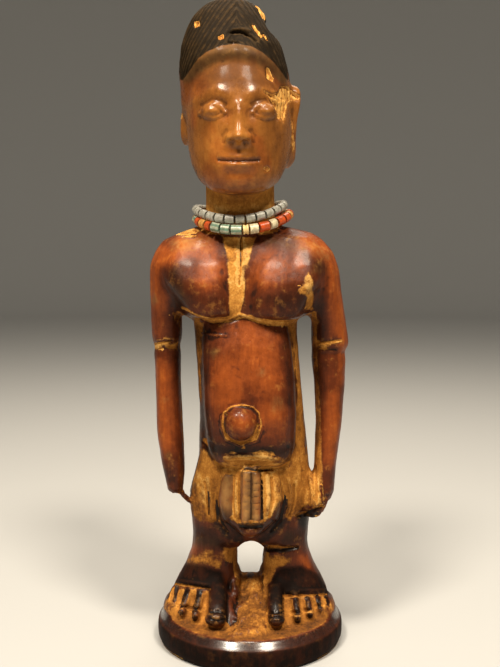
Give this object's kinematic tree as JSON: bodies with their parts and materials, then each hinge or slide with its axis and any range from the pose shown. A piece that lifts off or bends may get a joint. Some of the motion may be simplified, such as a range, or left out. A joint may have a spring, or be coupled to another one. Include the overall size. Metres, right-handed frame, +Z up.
{
  "type": "carved wooden twin figure",
  "caption": "Standing carved wood figure on a round base, with a high ridged coiffure, arms held clear of the trunk and strands of glass beads round the neck.",
  "frame": {"origin": "middle of the bounding box on the base's flat underside", "axes": "+Z up along the figure, -Y the way the figure faces, +X the figure's own left"},
  "size_m": [0.0808, 0.0776, 0.262],
  "materials": {
    "carved_wood": "dark red-brown wood, polished by handling on the high places and crusted tan in the hollows",
    "grey_glass": "opaque pale blue-grey glass, satin",
    "red_glass": "opaque brick-red glass, satin",
    "white_glass": "opaque cream-white glass, satin",
    "ochre_glass": "opaque ochre glass, satin",
    "green_glass": "opaque green glass with fine pale stripes",
    "cream_glass": "opaque yellow-cream glass, matt",
    "cotton_thread": "thin twisted cotton, soiled"
  },
  "bodies": {
    "root": {"figure": "carved_wood", "upper_bead_01": "grey_glass", "upper_bead_02": "grey_glass", "upper_bead_03": "grey_glass", "upper_bead_04": "grey_glass", "upper_bead_05": "grey_glass", "upper_bead_06": "grey_glass", "upper_bead_07": "grey_glass", "upper_bead_08": "grey_glass", "upper_bead_09": "grey_glass", "upper_bead_10": "grey_glass", "upper_bead_11": "grey_glass", "upper_bead_12": "grey_glass", "upper_bead_13": "grey_glass", "upper_bead_14": "grey_glass", "upper_bead_15": "grey_glass", "upper_bead_16": "grey_glass", "upper_bead_17": "grey_glass", "upper_bead_18": "grey_glass", "upper_bead_19": "grey_glass", "upper_bead_20": "grey_glass", "upper_bead_21": "grey_glass", "upper_bead_22": "grey_glass", "upper_bead_23": "grey_glass", "upper_bead_24": "grey_glass", "upper_bead_25": "grey_glass", "upper_bead_26": "grey_glass", "upper_bead_27": "grey_glass", "upper_bead_28": "grey_glass", "lower_bead_01": "white_glass", "lower_bead_02": "red_glass", "lower_bead_03": "white_glass", "lower_bead_04": "red_glass", "lower_bead_05": "red_glass", "lower_bead_06": "ochre_glass", "lower_bead_07": "red_glass", "lower_bead_08": "white_glass", "lower_bead_09": "red_glass", "lower_bead_10": "green_glass", "lower_bead_11": "ochre_glass", "lower_bead_12": "red_glass", "lower_bead_13": "white_glass", "lower_bead_14": "green_glass", "lower_bead_15": "ochre_glass", "lower_bead_16": "red_glass", "lower_bead_17": "white_glass", "lower_bead_18": "green_glass", "lower_bead_19": "red_glass", "lower_bead_20": "ochre_glass", "lower_bead_21": "green_glass", "lower_bead_22": "red_glass", "lower_bead_23": "ochre_glass", "lower_bead_24": "red_glass", "lower_bead_25": "green_glass", "lower_bead_26": "green_glass", "lower_bead_27": "green_glass", "lower_bead_28": "cream_glass", "upper_thread": "cotton_thread", "lower_thread": "cotton_thread"}
  },
  "joints": []
}
